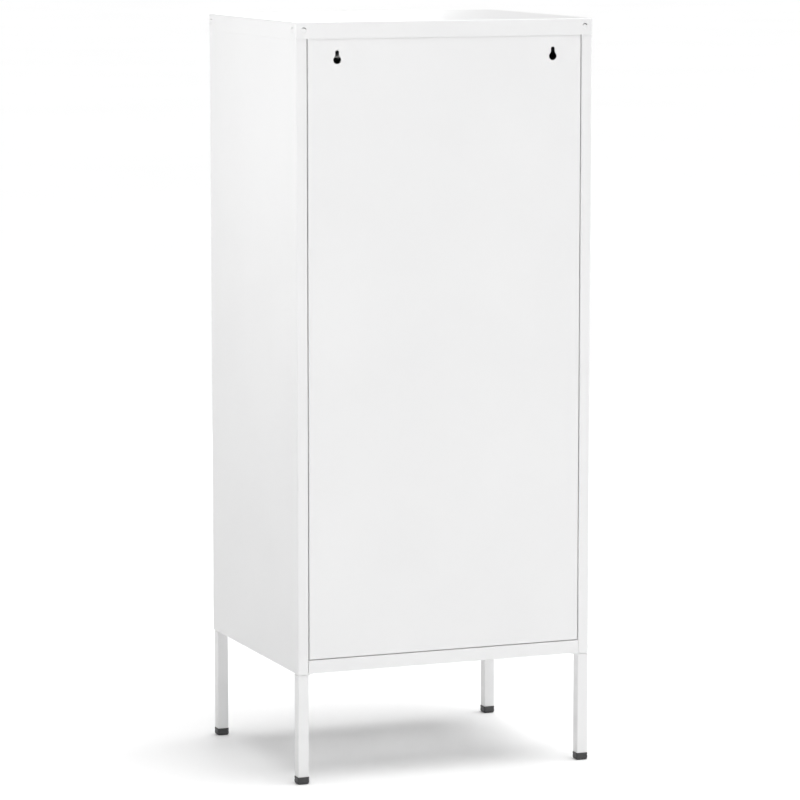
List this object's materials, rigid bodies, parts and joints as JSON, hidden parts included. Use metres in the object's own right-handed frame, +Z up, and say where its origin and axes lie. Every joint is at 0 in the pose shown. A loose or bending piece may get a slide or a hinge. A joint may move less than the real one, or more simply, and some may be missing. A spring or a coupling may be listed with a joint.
{
  "type": "locker cabinet",
  "caption": "Upright sheet-steel locker cabinet on thin square legs, with a lockable hinged door for each compartment and keyhole slots for hanging in its back.",
  "frame": {"origin": "on the floor under the middle of the cabinet", "axes": "+Z up, +Y out of the back, doors facing -Y, +X towards the side where the locks are"},
  "size_m": [0.425, 0.35, 1.015],
  "materials": {
    "white_powder_coat": "smooth white powder coat, semi-gloss",
    "zinc_fixings": "bright zinc plate",
    "satin_steel": "satin brushed stainless steel",
    "chrome": "polished chrome plate",
    "nickel_key": "nickel-plated brass key blank",
    "black_plastic": "moulded black polyethylene",
    "nylon": "natural nylon",
    "grey_rubber": "soft grey rubber",
    "card": "blank off-white card"
  },
  "bodies": {
    "carcass": {"top_cap": "white_powder_coat", "left_side_panel": "white_powder_coat", "right_side_panel": "white_powder_coat", "back_panel": "white_powder_coat", "bottom_tray": "white_powder_coat", "middle_rail": "white_powder_coat", "middle_divider": "white_powder_coat", "divider_ledges": "white_powder_coat", "upper_shelf": "white_powder_coat", "upper_shelf_ledges": "white_powder_coat", "lower_shelf": "white_powder_coat", "lower_shelf_ledges": "white_powder_coat", "leg_bolts": "zinc_fixings", "leg_nuts": "zinc_fixings", "floor_screws": "zinc_fixings", "floor_nuts": "zinc_fixings", "cap_studs": "zinc_fixings", "cap_nuts": "zinc_fixings", "back_panel_screws": "zinc_fixings", "back_panel_nuts": "zinc_fixings", "stop_bumpers": "grey_rubber", "front_left_leg": "white_powder_coat", "front_left_foot": "black_plastic", "front_right_leg": "white_powder_coat", "front_right_foot": "black_plastic", "rear_left_leg": "white_powder_coat", "rear_left_foot": "black_plastic", "rear_right_leg": "white_powder_coat", "rear_right_foot": "black_plastic", "upper_hinge_pins": "zinc_fixings", "lower_hinge_pins": "zinc_fixings"},
    "upper_door": {"upper_hinge_bushes": "nylon", "upper_door_shell": "white_powder_coat", "upper_door_stiffener": "white_powder_coat", "upper_label_frame": "satin_steel", "upper_label_card": "card", "upper_label_rivets": "zinc_fixings", "upper_handle_cup": "satin_steel", "upper_lock_housing": "chrome", "upper_lock_nut": "zinc_fixings"},
    "upper_lock": {"upper_lock_plug": "chrome", "upper_lock_cam": "zinc_fixings", "upper_cam_screw": "zinc_fixings", "upper_key": "nickel_key"},
    "lower_door": {"lower_hinge_bushes": "nylon", "lower_door_shell": "white_powder_coat", "lower_door_stiffener": "white_powder_coat", "lower_label_frame": "satin_steel", "lower_label_card": "card", "lower_label_rivets": "zinc_fixings", "lower_handle_cup": "satin_steel", "lower_lock_housing": "chrome", "lower_lock_nut": "zinc_fixings"},
    "lower_lock": {"lower_lock_plug": "chrome", "lower_lock_cam": "zinc_fixings", "lower_cam_screw": "zinc_fixings", "lower_key": "nickel_key"}
  },
  "joints": [
    {"name": "upper_door_hinge", "type": "hinge", "parent": "carcass", "child": "upper_door", "pos_m": [-0.1832, -0.1672, 0.79275], "axis": [0, 0, -1], "range_deg": [0, 125]},
    {"name": "lower_door_hinge", "type": "hinge", "parent": "carcass", "child": "lower_door", "pos_m": [-0.1832, -0.1672, 0.36825], "axis": [0, 0, -1], "range_deg": [0, 125]},
    {"name": "upper_lock_turn", "type": "hinge", "parent": "upper_door", "child": "upper_lock", "pos_m": [0.1533, -0.1712, 0.76875], "axis": [0, -1, 0], "range_deg": [0, 90]},
    {"name": "lower_lock_turn", "type": "hinge", "parent": "lower_door", "child": "lower_lock", "pos_m": [0.1533, -0.1712, 0.34425], "axis": [0, -1, 0], "range_deg": [0, 90]}
  ]
}
